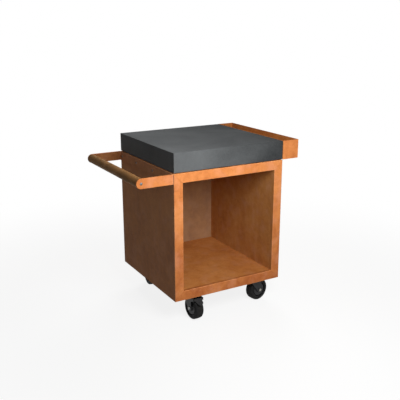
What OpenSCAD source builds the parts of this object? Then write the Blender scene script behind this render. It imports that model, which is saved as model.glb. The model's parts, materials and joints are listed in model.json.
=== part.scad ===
// Mobile prep table: steel cabinet with an open bay, stone worktop, push handle,
// herb tray and four swivel castors, two of them with brakes.
// Millimetres. X runs along the front from the handle side to the tray side, the front
// faces -Y, Z is up. The origin is on the ground under the middle of the cabinet.

/* [Cabinet] */
// Outside width of the cabinet
cab_w = 650; // [560:10:900]
// Outside depth of the cabinet
cab_d = 650; // [560:10:900]
// Height of the cabinet from the skirt's lower edge to its top
cab_h = 670; // [450:10:800]
// Width of the front frame's faces, also the thickness of the double walls
frame_w = 50; // [45:1:70]
// Thickness of the steel sheet
sheet_t = 2; // [1.5:0.5:3]
// Inside radius of the sheet's folds
fold_in = 1; // [0.8:0.2:2]
// Depth of the folded lips behind the front frame
lip_d = 20; // [16:1:30]
// Width of the rear flanges that the back panel is screwed to
back_flange_w = 24; // [20:1:40]
// Height of the deck's folded side flanges
deck_flange_h = 15; // [10:1:16]
// Clearance in the seams between panels
seam = 0.3; // [0.1:0.1:0.5]
// Set-back of the back panel's upright edges from the cabinet's sides
back_inset = 1; // [0:0.5:3]
// Bolt access holes in the bay's ceiling
access_d = 22; // [18:1:28]

/* [Worktop] */
// Height of the worktop's aprons, top slab included
worktop_h = 98; // [80:1:120]
// Thickness of the ceramic slab and aprons
ceramic_t = 20; // [12:1:24]
// Thickness of the substrate board under the slab
board_t = 18; // [12:1:22]
// Set-back of the worktop from the cabinet's outline
worktop_inset = 1; // [0:0.5:3]
// Ground edge on the worktop's corners
arris = 1; // [0.5:0.25:2]
// Shadow gap between cabinet and worktop
shadow_gap = 4; // [3.5:0.5:8]
// Width of the bearers' aluminium tubes
tube_w = 40; // [30:1:50]
// Wall of the bearers' tubes
tube_t = 3; // [2:0.5:4]
// Size of the square spacer pads
pad_w = 40; // [30:1:60]
// Distance of the worktop bolts from the middle of the width
worktop_bolt_x = 245; // [180:5:250]

/* [Handle] */
// Reach of the handle from the cabinet's side to the end of its arms
handle_reach = 197.5; // [150:0.5:260]
// Height of the handle's arms
arm_h = 50; // [50:1:60]
// Thickness of the handle's folded flat steel
arm_t = 5; // [4:0.5:6]
// Outside radius of the handle bracket's bends
arm_bend = 7; // [7:0.5:12]
// Outside diameter of the handle bar
bar_d = 48; // [34:1:50]
// Wall of the handle bar
bar_t = 2.5; // [2:0.5:4]
// Thickness of the threaded plugs in the handle bar's ends
plug_t = 10; // [8:1:16]
// Distance of the inner bracket screws from the middle
handle_screw_y = 100; // [60:5:160]
// Distance of the outer bracket screws from the cabinet's front and back faces
handle_screw_edge = 35; // [30:1:60]

/* [Tray] */
// Outside width of the herb tray
tray_w = 100; // [70:1:140]
// Gap between the cabinet's side and the tray
tray_gap = 0.5; // [0:0.5:3]
// Width of the tongues that carry the tray
tongue_w = 60; // [40:5:70]

/* [Castors] */
// Wheel diameter
wheel_d = 125; // [110:1:140]
// Tread width
tread_w = 48; // [40:1:52]
// Height of the tyre's rubber above the wheel core
tyre_h = 18; // [14:1:22]
// Distance from the swivel axis back to the axle
trail = 30; // [26:1:36]
// Clear height between the wheel and the cabinet's skirt
skirt_clearance = 10; // [8:1:16]
// Distance of the swivel axes from the cabinet's sides
castor_inset_x = 128; // [110:1:160]
// Distance of the swivel axes from the cabinet's front and back
castor_inset_y = 66; // [56:1:100]
// Thickness of the fork's pressed steel
fork_t = 3; // [2.5:0.5:4]
// Clear height between the wheel and the fork's crown
crown_gap = 5; // [5:0.5:7]
// Height of the swivel head between crown and top plate
head_h = 19; // [19:1:22]
// Bolt spacing on the top plate, left to right
plate_hole_x = 80; // [76:1:90]
// Bolt spacing on the top plate, front to back
plate_hole_y = 60; // [56:1:70]
// Margin of the top plate around its bolts
plate_edge = 12.5; // [10:0.5:15]
// Top plate thickness
plate_t = 3; // [2.5:0.5:4]
// Sheet thickness of the rails that carry the castors
rail_t = 3; // [2:0.5:4]
// Axle bolt diameter
axle_d = 10; // [8:1:12]
// Wall of the sleeve that the wheel turns on
sleeve_t = 3; // [2:0.5:3.5]
// Wall of the wheel's bushes
bush_t = 2.5; // [1.5:0.5:3]
// King pin diameter
pin_d = 12; // [10:1:14]
// Swivel ball diameter
ball_d = 6; // [5:0.5:6.5]
// Radius of the swivel race at the balls' centres
race_r = 29; // [27:0.5:31]
// Balls in each swivel race
ball_count = 12; // [8:1:20]
// Turn of the front left castor at rest, degrees
turn_fl = -87; // [-180:1:180]
// Turn of the front right castor at rest, degrees
turn_fr = 9; // [-180:1:180]
// Turn of the rear left castor at rest, degrees
turn_rl = -95; // [-180:1:180]
// Turn of the rear right castor at rest, degrees
turn_rr = 40; // [-180:1:180]

/* [Brakes] */
// Length of the brake pedal's foot plate
pedal_l = 40; // [32:1:48]
// Width of the brake pedal's foot plate
pedal_w = 34; // [26:1:40]
// Thickness of the brake pedal's steel
pedal_t = 2.5; // [2:0.5:3]
// Gap between the released brake shoe and the tyre
shoe_gap = 3; // [2:0.5:4]

/* [Screws] */
// Diameter of the castor, worktop and handle bolts
bolt_d = 8; // [6:1:8]
// Back panel screw diameter
back_screw_d = 5; // [4:0.5:6]

/* [Hidden] */

// Roundness of true circles
$fn = 64;
// Overshoot that makes cuts pass clean through
cut = 1;
// Radial clearance of a running fit
running = 0.05;
// Radial clearance of a bolt in its hole
bolt_play = 0.5;
// Axial play of a turning piece between its stops
end_play = 0.3;
// Overlap that makes two shapes of one piece a single solid
merge = 0.5;

// Castor heights above the ground
wheel_r = wheel_d / 2;
crown_z = wheel_d + crown_gap;
crown_top = crown_z + fork_t;
plate_z = crown_top + head_h;
castor_h = plate_z + plate_t;

// Cabinet heights and half sizes
skirt_z = wheel_d + skirt_clearance;
top_z = skirt_z + cab_h;
half_w = cab_w / 2;
half_d = cab_d / 2;
bay_z0 = skirt_z + frame_w;
bay_z1 = top_z - frame_w;
floor_z = bay_z0 - sheet_t;
bay_half = half_w - frame_w;
lip_y = -half_d + lip_d;
back_y = half_d - sheet_t;
flange_y = back_y - sheet_t;
sheet_half = half_w - sheet_t - seam;
fold_r = sheet_t + fold_in;

// A joggled tab reaches this far behind a folded lip, and is welded on this length
tab_reach = 11;
tab_hold = 5;

// Worktop
worktop_z0 = top_z + shadow_gap;
worktop_z1 = worktop_z0 + worktop_h;
worktop_half_w = half_w - worktop_inset;
worktop_half_d = half_d - worktop_inset;
slab_z0 = worktop_z1 - ceramic_t;
board_z0 = slab_z0 - board_t;
glue = 0.2;
core_half_w = worktop_half_w - ceramic_t - glue;
core_half_d = worktop_half_d - ceramic_t - glue;
bearer_y = core_half_d - tube_w / 2;

// Tray
tray_x0 = half_w + tray_gap;
tray_x1 = tray_x0 + tray_w;
tray_z0 = worktop_z0 - sheet_t;
tongue_x = worktop_bolt_x - pad_w / 2;

// Screws
bolt_r = bolt_d / 2;
hex_r = bolt_d * 0.94;
hex_h = bolt_d * 0.66;
hex_flat = hex_r * cos(30);
nut_h = bolt_d * 0.8;
thread_end = 2;
back_screw_r = back_screw_d / 2;
back_screw_x = half_w - sheet_t - back_flange_w / 2;
back_screw_rows = 4;
back_screw_edge = 40;
back_screw_end = 4;
back_screw_zs = [for (i = [0:back_screw_rows - 1])
    skirt_z + back_screw_edge + i * (cab_h - 2 * back_screw_edge) / (back_screw_rows - 1)];

// Button-head screw: head and socket as shares of the shank's radius, the dome of the
// head's radius and the socket's floor of the head's height
button_head = 1.75;
button_h = 1.1;
button_dome = 1.35;
socket_across = 0.72;
socket_floor = 0.35;

// Handle
handle_z = top_z - arm_h / 2;
handle_x = -half_w - handle_reach + arm_h / 2;
handle_screw_ys = [-half_d + handle_screw_edge, -handle_screw_y, handle_screw_y,
    half_d - handle_screw_edge];
bar_r = bar_d / 2;
bar_half = half_d - arm_t - seam;

// Castors: swivel axes and rest turns, front left, front right, rear left, rear right
castor_x = half_w - castor_inset_x;
castor_y = half_d - castor_inset_y;
castor_places = [
    [-castor_x, -castor_y, turn_fl],
    [castor_x, -castor_y, turn_fr],
    [-castor_x, castor_y, turn_rl],
    [castor_x, castor_y, turn_rr]];
FL = 0;
FR = 1;
RL = 2;
RR = 3;
plate_l = plate_hole_x + 2 * plate_edge;
plate_w = plate_hole_y + 2 * plate_edge;

// Castor rails
rail_gap = 1;
rail_flange_in = plate_hole_y / 2 + hex_flat + rail_gap;
rail_web_half = plate_w / 2 + rail_gap;

// Wheel and fork, measured from the wheel's middle plane
side_play = 2;
fork_in = tread_w / 2 + side_play;
fork_out = fork_in + fork_t;
hub_half = fork_in - side_play;
bush_flange = 1.5;
bush_rim = 4;
bush_l = 14.4;
axle_r = axle_d / 2;
axle_head_r = axle_d * 0.85;
axle_head_h = axle_d * 0.5;
axle_end = 3;
sleeve_r = axle_r + running + sleeve_t;
bush_r = sleeve_r + running + bush_t;
tyre_in = wheel_r - tyre_h;
tyre_shoulder = 9;
hub_wall = 6;
disc_drop = 3;
disc_bevel = 1.5;
core_draft = 1;
web_half = 12;
groove_w = 3.5;
rim_t = 4;
rim_lip = 2.5;
rim_drop = 2;
fork_end_r = 15;
fork_corner_r = 8;
crown_front = -34;
crown_back = 40;
crown_drop = 12;

// Swivel head
pin_r = pin_d / 2;
pin_rim = 4;
pin_head_r = pin_r + pin_rim;
pin_head_h = 4;
ball_r = ball_d / 2;
race_play = 0.1;
shelf_h = 5;
shelf_z = crown_top + shelf_h;
ball_z = shelf_z + ball_r + race_play;
race_z = ball_z + ball_r + race_play;
race_in = race_r - ball_r - race_play;
race_out = race_r + ball_r + race_play;
race_hub = 4;
race_skirt = 3;
hub_gap = 8;
hub_in = pin_head_r + hub_gap;
plate_corner_r = 8;
cup_wall = 3.5;
cup_r = race_out + cup_wall;
cup_z = race_z - 2 * end_play;

// Brake pedal, in the castor's own upright plane
pedal_angle = 58;
pedal_stand = 7;
pedal_pin_r = 2.5;
pedal_pin_rim = 1.5;
pedal_pin_head = 2;
pedal_ear_r = 6.5;
ear_top = [4, 2];
ear_foot = [2, 30];
pedal_slope = 38;
pedal_x = trail + (wheel_r + pedal_stand) * cos(pedal_angle);
pedal_z = wheel_r + (wheel_r + pedal_stand) * sin(pedal_angle);
pedal_cheek_r = 5;
pedal_half = fork_in - 2 * end_play;
pedal_neck = 12;
cheek_lap = 1;
pedal_rib = 1;
rib_w = 2;
rib_pitch = 6;
rib_count = 3;
shoe_l = 10;
shoe_x = 4;
shoe_root_x = 2;
shoe_reach = wheel_r / 4;

// Finishes as the object shows them
rust = "peru";
dark_rust = "saddlebrown";
stone = "dimgray";
zinc = "silver";
black = "darkslategray";

// Shared shapes

// Box from its low corner to its high corner
module block(low, high) {
    translate(low) cube(high - low);
}

// Outline drawn in X and Z, made solid from y0 to y1
module upright(y0, y1) {
    translate([0, y1, 0]) rotate([90, 0, 0]) linear_extrude(y1 - y0) children();
}

// Section drawn in Y and Z, made solid from x0 to x1
module lengthwise(x0, x1) {
    translate([x0, 0, 0]) rotate([90, 0, 90]) linear_extrude(x1 - x0) children();
}

// Cylinder along Y from y0 to y1
module rod_y(r, y0, y1) {
    translate([0, y1, 0]) rotate([90, 0, 0]) cylinder(r = r, h = y1 - y0);
}

// Cylinder along X from x0 to x1
module rod_x(r, x0, x1) {
    translate([x0, 0, 0]) rotate([0, 90, 0]) cylinder(r = r, h = x1 - x0);
}

// Washer or tube standing on the plane z = 0
module tube(r_out, r_in, h) {
    difference() {
        cylinder(r = r_out, h = h);
        translate([0, 0, -cut]) cylinder(r = r_in, h = h + 2 * cut);
    }
}

// Turns and places a shape drawn in one castor's own frame
module at_castor(i) {
    translate([castor_places[i][0], castor_places[i][1], 0])
        rotate([0, 0, castor_places[i][2]]) children();
}

// Places a shape at a castor without turning it
module over_castor(i) {
    translate([castor_places[i][0], castor_places[i][1], 0]) children();
}

// Button-head screw pointing down, its head on the plane z = 0, with a hexagon socket
module button_screw(r, length) {
    head_r = r * button_head;
    head_h = r * button_h;
    dome_r = head_r * button_dome;
    difference() {
        union() {
            intersection() {
                cylinder(r = head_r, h = head_h);
                translate([0, 0, head_h - dome_r]) sphere(r = dome_r);
            }
            translate([0, 0, -length]) cylinder(r = r, h = length + merge);
        }
        translate([0, 0, head_h * socket_floor])
            cylinder(r = r * socket_across, h = head_h, $fn = 6);
    }
}

// Hexagon nut standing on the plane z = 0
module nut(r, corner_r, h) {
    difference() {
        cylinder(r = corner_r, h = h, $fn = 6);
        translate([0, 0, -cut]) cylinder(r = r + running, h = h + 2 * cut);
    }
}

// Hexagon bolt pointing up, its head below the plane z = 0
module hex_bolt(r, corner_r, head_h, length) {
    translate([0, 0, -head_h]) cylinder(r = corner_r, h = head_h, $fn = 6);
    translate([0, 0, -merge]) cylinder(r = r, h = length + merge);
}

// Section of a sheet folded along a line whose corners all turn to the right
module folded_sheet(line) {
    last = len(line) - 1;
    for (i = [0:last - 1]) {
        along = (line[i + 1] - line[i]) / norm(line[i + 1] - line[i]);
        inward = [along[1], -along[0]];
        start = line[i] + (i > 0 ? fold_r : 0) * along;
        end = line[i + 1] - (i < last - 1 ? fold_r : 0) * along;
        polygon([start, end, end + sheet_t * inward, start + sheet_t * inward]);
        if (i < last - 1) fold_corner(end + fold_r * inward, along, inward);
    }
}

// Corner of a fold about its centre, and a little of the flats on both sides
module fold_corner(centre, along, inward) {
    intersection() {
        polygon([for (p = [[-merge, -merge], [-merge, fold_r], [fold_r, fold_r], [fold_r, -merge]])
            centre + p[0] * along - p[1] * inward]);
        difference() {
            round_corner(centre, along, inward, fold_r);
            round_corner(centre, along, inward, fold_in);
        }
    }
}

// Solid corner with radius r towards the outside of a fold
module round_corner(centre, along, inward, r) {
    translate(centre) circle(r = r);
    polygon([for (p = [[-fold_r, -fold_r], [-fold_r, r], [0, r], [0, -fold_r]])
        centre + p[0] * along - p[1] * inward]);
    polygon([for (p = [[-fold_r, -fold_r], [-fold_r, 0], [r, 0], [r, -fold_r]])
        centre + p[0] * along - p[1] * inward]);
}

// Where the tangent from point p touches a circle, on its left or right side
function tangent_point(p, centre, r, side) =
    let (d = centre - p, reach = norm(d), lean = asin(r / reach), along = sqrt(reach * reach - r * r),
        heading = atan2(d[1], d[0]) + side * lean)
    p + along * [cos(heading), sin(heading)];

// Cabinet

// Left wall folded from one sheet: lip, stile with mitred ends, outer skin and rear flange
module side_wall() {
    difference() {
        translate([0, 0, skirt_z]) linear_extrude(cab_h)
            folded_sheet([[-bay_half, lip_y], [-bay_half, -half_d], [-half_w, -half_d],
                [-half_w, back_y], [-half_w + sheet_t + back_flange_w, back_y]]);
        stile_end(top_z, bay_z1, 1);
        stile_end(skirt_z, bay_z0, -1);
        for (z = back_screw_zs)
            translate([-back_screw_x, 0, z]) rod_y(back_screw_r + running, flange_y - cut, back_y + cut);
    }
}

// What is cut off at one end of the stile: the mitre, and the lip beyond the opening
module stile_end(outer_z, inner_z, up) {
    upright(-half_d - cut, -half_d + fold_r)
        polygon([[-half_w, outer_z], [-bay_half, inner_z], [-bay_half + cut, inner_z],
            [-bay_half + cut, outer_z + up * cut], [-half_w, outer_z + up * cut]]);
    low = min(inner_z, outer_z + up * cut);
    high = max(inner_z, outer_z + up * cut);
    block([-bay_half - fold_r, -half_d + fold_r, low], [-bay_half + cut, lip_y + cut, high]);
}

module side_panel_left() {
    color(rust) difference() {
        side_wall();
        for (y = handle_screw_ys)
            translate([0, y, handle_z])
                rod_x(bolt_r + bolt_play, -half_w - cut, -half_w + sheet_t + cut);
    }
}

module side_panel_right() {
    color(rust) mirror([1, 0, 0]) side_wall();
}

// Room that a front rail may fill: its mitred face, and behind it the lip between the walls
module rail_room(outer_z, inner_z) {
    low = min(outer_z, inner_z);
    high = max(outer_z, inner_z);
    upright(-half_d - cut, -half_d + fold_r)
        polygon([[-half_w, outer_z], [half_w, outer_z], [bay_half, inner_z], [-bay_half, inner_z]]);
    block([-bay_half, -half_d + fold_r - merge, low], [bay_half, lip_y + cut, high]);
}

module front_rail_top() {
    color(rust) {
        intersection() {
            lengthwise(-half_w, half_w)
                folded_sheet([[lip_y, bay_z1], [-half_d, bay_z1], [-half_d, top_z], [lip_y, top_z]]);
            rail_room(top_z, bay_z1);
        }
        block([-sheet_half, -half_d + fold_r, top_z - sheet_t], [sheet_half, lip_y, top_z]);
    }
}

module front_rail_bottom() {
    color(rust) intersection() {
        lengthwise(-half_w, half_w)
            folded_sheet([[-half_d, skirt_z], [-half_d, bay_z0], [lip_y, bay_z0]]);
        rail_room(skirt_z, bay_z0);
    }
}

// Lining of the bay's left wall, standing on the castor rails, with a joggled tab behind
// the stile's lip
module liner() {
    block([-bay_half - sheet_t, lip_y + seam, floor_z], [-bay_half, back_y - seam, bay_z1]);
    block([-bay_half - 2 * sheet_t, lip_y - tab_reach, bay_z0 + sheet_t],
        [-bay_half - sheet_t, lip_y + tab_hold, bay_z1 - sheet_t]);
}

module liner_left() {
    color(dark_rust) liner();
}

module liner_right() {
    color(dark_rust) mirror([1, 0, 0]) liner();
}

// Level sheet from wall to wall, let in between the walls' rear flanges
module level_sheet(z0) {
    clear_x = half_w - sheet_t - back_flange_w - seam;
    block([-sheet_half, lip_y + seam, z0], [sheet_half, flange_y - fold_in, z0 + sheet_t]);
    block([-clear_x, lip_y + seam, z0], [clear_x, back_y - seam, z0 + sheet_t]);
}

// Joggled tab of a level sheet, over or under the front rail's lip
module level_tab(z0) {
    tab_half = bay_half - 2 * sheet_t;
    block([-tab_half, lip_y - tab_reach, z0], [tab_half, lip_y + tab_hold, z0 + sheet_t]);
}

// Bay floor on the castor rails, between the linings
module floor_panel() {
    color(dark_rust) block([-bay_half, lip_y + seam, floor_z], [bay_half, back_y - seam, bay_z0]);
}

module ceiling_panel() {
    color(dark_rust) difference() {
        union() {
            level_sheet(bay_z1);
            level_tab(bay_z1 + sheet_t);
        }
        for (x = [-1, 1], y = [-1, 1])
            translate([x * worktop_bolt_x, y * bearer_y, bay_z1 - cut])
                cylinder(d = access_d, h = sheet_t + 2 * cut);
    }
}

// Deck under the worktop, its side flanges against the cabinet's skins
module top_deck() {
    color(dark_rust) difference() {
        union() {
            level_sheet(top_z - sheet_t);
            level_tab(top_z - 2 * sheet_t);
            for (s = [-1, 1])
                translate([s * (sheet_half - sheet_t / 2), 0, 0])
                    block([-sheet_t / 2, lip_y + seam, top_z - deck_flange_h],
                        [sheet_t / 2, flange_y - fold_in, top_z]);
        }
        for (x = [-1, 1], y = [-1, 1])
            translate([x * worktop_bolt_x, y * bearer_y, top_z - sheet_t - cut])
                cylinder(r = bolt_r + bolt_play, h = sheet_t + 2 * cut);
    }
}

module back_panel() {
    color(dark_rust) difference() {
        block([-half_w + back_inset, back_y, skirt_z], [half_w - back_inset, half_d, top_z]);
        for (s = [-1, 1], z = back_screw_zs)
            translate([s * back_screw_x, 0, z])
                rod_y(back_screw_r + running, back_y - cut, half_d + cut);
    }
}

module back_panel_screws() {
    color(zinc) for (s = [-1, 1], z = back_screw_zs)
        translate([s * back_screw_x, half_d, z]) rotate([-90, 0, 0])
            button_screw(back_screw_r, 2 * sheet_t + back_screw_end);
}

// Rail under the floor: a web that the castors are bolted to and two upright flanges
module castor_rail(side) {
    difference() {
        translate([0, side * castor_y, 0]) {
            block([-sheet_half, -rail_web_half, castor_h],
                [sheet_half, rail_web_half, castor_h + rail_t]);
            for (s = [-1, 1])
                translate([0, s * (rail_flange_in + rail_t / 2), 0])
                    block([-sheet_half, -rail_t / 2, castor_h], [sheet_half, rail_t / 2, floor_z]);
        }
        for (x = [-1, 1])
            translate([x * castor_x, side * castor_y, castor_h]) plate_holes(rail_t);
    }
}

// Clearance holes of one castor plate, cut from z = 0 to the sheet's thickness
module plate_holes(t) {
    for (x = [-1, 1], y = [-1, 1])
        translate([x * plate_hole_x / 2, y * plate_hole_y / 2, -cut])
            cylinder(r = bolt_r + bolt_play, h = t + 2 * cut);
}

module castor_rail_front() {
    color(dark_rust) castor_rail(-1);
}

module castor_rail_rear() {
    color(dark_rust) castor_rail(1);
}

// Worktop

// Slab with ground upper edges and mitred lower edges
module worktop_top() {
    drop = ceramic_t - arris;
    color(stone) intersection() {
        upright(-worktop_half_d, worktop_half_d) slab_section(worktop_half_w, drop);
        lengthwise(-worktop_half_w, worktop_half_w) slab_section(worktop_half_d, drop);
        translate([0, 0, slab_z0]) linear_extrude(ceramic_t)
            polygon([[worktop_half_w - arris, worktop_half_d], [worktop_half_w, worktop_half_d - arris],
                [worktop_half_w, -worktop_half_d + arris], [worktop_half_w - arris, -worktop_half_d],
                [-worktop_half_w + arris, -worktop_half_d], [-worktop_half_w, -worktop_half_d + arris],
                [-worktop_half_w, worktop_half_d - arris], [-worktop_half_w + arris, worktop_half_d]]);
    }
}

module slab_section(half, drop) {
    polygon([[-half + drop, slab_z0], [half - drop, slab_z0], [half, worktop_z1 - arris],
        [half - arris, worktop_z1], [-half + arris, worktop_z1], [-half, worktop_z1 - arris]]);
}

// Apron of a worktop that is 2 * half_l long and 2 * half_off deep, drawn at the front
module apron(half_l, half_off) {
    intersection() {
        lengthwise(-half_l, half_l)
            polygon([[-half_off + arris, worktop_z0], [-half_off, worktop_z0 + arris],
                [-half_off, worktop_z1 - arris], [-half_off + ceramic_t - arris, slab_z0],
                [-half_off + ceramic_t, slab_z0], [-half_off + ceramic_t, worktop_z0]]);
        translate([0, 0, worktop_z0]) linear_extrude(worktop_h)
            polygon([[-half_l + arris, -half_off], [half_l - arris, -half_off],
                [half_l - arris / 2, -half_off + arris / 2],
                [half_l - ceramic_t, -half_off + ceramic_t],
                [-half_l + ceramic_t, -half_off + ceramic_t],
                [-half_l + arris / 2, -half_off + arris / 2]]);
    }
}

module worktop_apron_front() {
    color(stone) apron(worktop_half_w, worktop_half_d);
}

module worktop_apron_back() {
    color(stone) mirror([0, 1, 0]) apron(worktop_half_w, worktop_half_d);
}

module worktop_apron_left() {
    color(stone) rotate([0, 0, -90]) apron(worktop_half_d, worktop_half_w);
}

module worktop_apron_right() {
    color(stone) rotate([0, 0, 90]) apron(worktop_half_d, worktop_half_w);
}

module worktop_board() {
    color("tan") block([-core_half_w, -core_half_d, board_z0], [core_half_w, core_half_d, slab_z0]);
}

// Three open tubes from side to side that carry the board
module worktop_bearers() {
    color(zinc) difference() {
        for (y = [-bearer_y, 0, bearer_y])
            translate([0, y, 0])
                block([-core_half_w, -tube_w / 2, worktop_z0], [core_half_w, tube_w / 2, board_z0]);
        for (y = [-bearer_y, 0, bearer_y])
            translate([0, y, 0])
                block([-core_half_w - cut, -tube_w / 2 + tube_t, worktop_z0 + tube_t],
                    [core_half_w + cut, tube_w / 2 - tube_t, board_z0 - tube_t]);
        for (x = [-1, 1], y = [-1, 1])
            translate([x * worktop_bolt_x, y * bearer_y, worktop_z0 - cut])
                cylinder(r = bolt_r + bolt_play, h = tube_t + 2 * cut);
    }
}

// Rubber pads on the deck: full height, and thinner ones under the tray's tongues
module worktop_pads() {
    color(black) {
        for (y = [-bearer_y, bearer_y]) translate([-worktop_bolt_x, y, top_z]) pad(shadow_gap, true);
        for (y = [-bearer_y, bearer_y])
            translate([worktop_bolt_x, y, top_z]) pad(shadow_gap - sheet_t, true);
        for (x = [-1, 1]) translate([x * worktop_bolt_x, 0, top_z]) pad(shadow_gap, false);
    }
}

module pad(h, drilled) {
    difference() {
        block([-pad_w / 2, -pad_w / 2, 0], [pad_w / 2, pad_w / 2, h]);
        if (drilled) translate([0, 0, -cut]) cylinder(r = bolt_r + bolt_play, h = h + 2 * cut);
    }
}

// Bolts from the bay side through deck, pads and bearers, each with its nut
module worktop_bolts() {
    grip = sheet_t + shadow_gap + tube_t;
    color(zinc) for (x = [-1, 1], y = [-1, 1])
        translate([x * worktop_bolt_x, y * bearer_y, top_z - sheet_t]) {
            hex_bolt(bolt_r, hex_r, hex_h, grip + nut_h + thread_end);
            translate([0, 0, grip]) nut(bolt_r, hex_r, nut_h);
        }
}

// Handle

// Plan of a strip folded round two corners at x_edge, open towards -X
module folded_plan(x_open, x_edge, half_y, r) {
    translate([x_open, -half_y]) square([x_edge - r - x_open, 2 * half_y]);
    translate([x_open, -half_y + r]) square([x_edge - x_open, 2 * (half_y - r)]);
    for (s = [-1, 1]) translate([x_edge - r, s * (half_y - r)]) circle(r = r);
}

// Folded flat steel: plate on the cabinet's side and two arms with round ends
module handle_bracket() {
    arm_end = handle_x - arm_h / 2 - cut;
    z0 = handle_z - arm_h / 2;
    color(rust) difference() {
        intersection() {
            translate([0, 0, z0]) linear_extrude(arm_h) difference() {
                folded_plan(arm_end, -half_w, half_d, arm_bend);
                folded_plan(arm_end - cut, -half_w - arm_t, half_d - arm_t, arm_bend - arm_t);
            }
            upright(-half_d, half_d) {
                translate([handle_x, z0]) square([-half_w - handle_x, arm_h]);
                translate([handle_x, handle_z]) circle(r = arm_h / 2);
            }
        }
        for (y = handle_screw_ys)
            translate([0, y, handle_z]) rod_x(bolt_r + running, -half_w - arm_t - cut, -half_w + cut);
        for (s = [-1, 1])
            translate([handle_x, s * (half_d - arm_t / 2), handle_z])
                rod_y(bolt_r + running, -arm_t, arm_t);
    }
}

// Round tube with threaded plugs in its ends
module handle_bar() {
    bore = bar_half - plug_t;
    color("olivedrab") translate([handle_x, 0, handle_z]) difference() {
        rod_y(bar_r, -bar_half, bar_half);
        rod_y(bar_r - bar_t, -bore, bore);
        rod_y(bolt_r + running, -bar_half - cut, bar_half + cut);
    }
}

module handle_end_screws() {
    color(zinc) for (s = [-1, 1])
        translate([handle_x, s * half_d, handle_z]) rotate([s * -90, 0, 0])
            button_screw(bolt_r, arm_t + plug_t);
}

// Screws through the bracket's plate into nuts inside the wall
module handle_bracket_screws() {
    grip = arm_t + sheet_t;
    color(zinc) for (y = handle_screw_ys)
        translate([-half_w - arm_t, y, handle_z]) rotate([0, -90, 0]) {
            button_screw(bolt_r, grip + nut_h + thread_end);
            translate([0, 0, -grip - nut_h]) nut(bolt_r, hex_r, nut_h);
        }
}

// Trough of folded sheet with two end walls, and two tongues that lie under the worktop
module herb_tray() {
    color(rust) difference() {
        union() {
            upright(-half_d, half_d)
                folded_sheet([[tray_x1, worktop_z1], [tray_x1, tray_z0], [tray_x0, tray_z0],
                    [tray_x0, worktop_z1]]);
            upright(-half_d, -half_d + sheet_t) tray_end();
            upright(half_d - sheet_t, half_d) tray_end();
            for (y = [-1, 1])
                translate([0, y * bearer_y, 0])
                    block([tongue_x, -tongue_w / 2, tray_z0], [tray_x0 + fold_r, tongue_w / 2, worktop_z0]);
        }
        for (y = [-1, 1])
            translate([worktop_bolt_x, y * bearer_y, tray_z0 - cut])
                cylinder(r = bolt_r + bolt_play, h = sheet_t + 2 * cut);
    }
}

// End wall of the trough, its lower corners round like the folds
module tray_end() {
    translate([tray_x0, tray_z0 + fold_r]) square([tray_w, worktop_z1 - tray_z0 - fold_r]);
    translate([tray_x0 + fold_r, tray_z0]) square([tray_w - 2 * fold_r, fold_r + merge]);
    for (x = [tray_x0 + fold_r, tray_x1 - fold_r]) translate([x, tray_z0 + fold_r]) circle(r = fold_r);
}

// Castors

module castor_bolts() {
    grip = plate_t + rail_t;
    color(zinc) for (i = [FL:RR], x = [-1, 1], y = [-1, 1])
        over_castor(i) translate([x * plate_hole_x / 2, y * plate_hole_y / 2, plate_z]) {
            hex_bolt(bolt_r, hex_r, hex_h, grip + nut_h + thread_end);
            translate([0, 0, grip]) nut(bolt_r, hex_r, nut_h);
        }
}

// Top plate with rounded corners and the dished upper race below it
module castor_plate(i) {
    color(zinc) over_castor(i) difference() {
        union() {
            translate([0, 0, plate_z]) linear_extrude(plate_t) {
                square([plate_l - 2 * plate_corner_r, plate_w], center = true);
                square([plate_l, plate_w - 2 * plate_corner_r], center = true);
                for (sx = [-1, 1], sy = [-1, 1])
                    translate([sx * (plate_l / 2 - plate_corner_r), sy * (plate_w / 2 - plate_corner_r)])
                        circle(r = plate_corner_r);
            }
            rotate_extrude() polygon([[hub_in, race_z - race_hub - ball_r],
                [race_in, race_z - race_hub - ball_r], [race_in, race_z], [cup_r, race_z],
                [cup_r, race_z + race_skirt], [race_r, plate_z + merge], [hub_in, plate_z + merge]]);
        }
        translate([0, 0, plate_z]) plate_holes(plate_t);
        translate([0, 0, plate_z - cut]) cylinder(r = pin_r + running, h = plate_t + 2 * cut);
    }
}

// Riveted pin with a head under the crown and a shoulder above it
module king_pins() {
    color(zinc) for (i = [FL:RR]) over_castor(i) {
        translate([0, 0, crown_z - end_play - pin_head_h]) cylinder(r = pin_head_r, h = pin_head_h);
        translate([0, 0, crown_z - end_play - merge])
            cylinder(r = pin_r, h = castor_h - crown_z + end_play + merge);
        translate([0, 0, crown_top + end_play])
            cylinder(r = pin_head_r, h = plate_z - crown_top - end_play);
    }
}

module swivel_balls() {
    color(zinc) for (i = [FL:RR], k = [0:ball_count - 1])
        over_castor(i) rotate([0, 0, k * 360 / ball_count])
            translate([race_r, 0, ball_z]) sphere(r = ball_r);
}

// Pressed section of the fork across the wheel, both legs and the crown
module fork_section() {
    difference() {
        arch(fork_out, crown_top, fork_corner_r);
        arch(fork_in, crown_z, fork_corner_r - fork_t);
    }
}

// Arch outline with rounded shoulders, from the ground up
module arch(half, top, r) {
    translate([-half, 0]) square([2 * half, top - r]);
    translate([-half + r, 0]) square([2 * (half - r), top]);
    for (s = [-1, 1]) translate([s * (half - r), top - r]) circle(r = r);
}

// Side view of a fork leg: straight crown, tapering to the round end at the axle
module leg_outline() {
    axle = [trail, wheel_r];
    front = [crown_front, crown_top - crown_drop];
    back = [crown_back, crown_top - crown_drop];
    translate(axle) circle(r = fork_end_r);
    polygon([[crown_front, crown_top + cut], front, tangent_point(front, axle, fork_end_r, -1), axle,
        tangent_point(back, axle, fork_end_r, 1), back, [crown_back, crown_top + cut]]);
}

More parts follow.
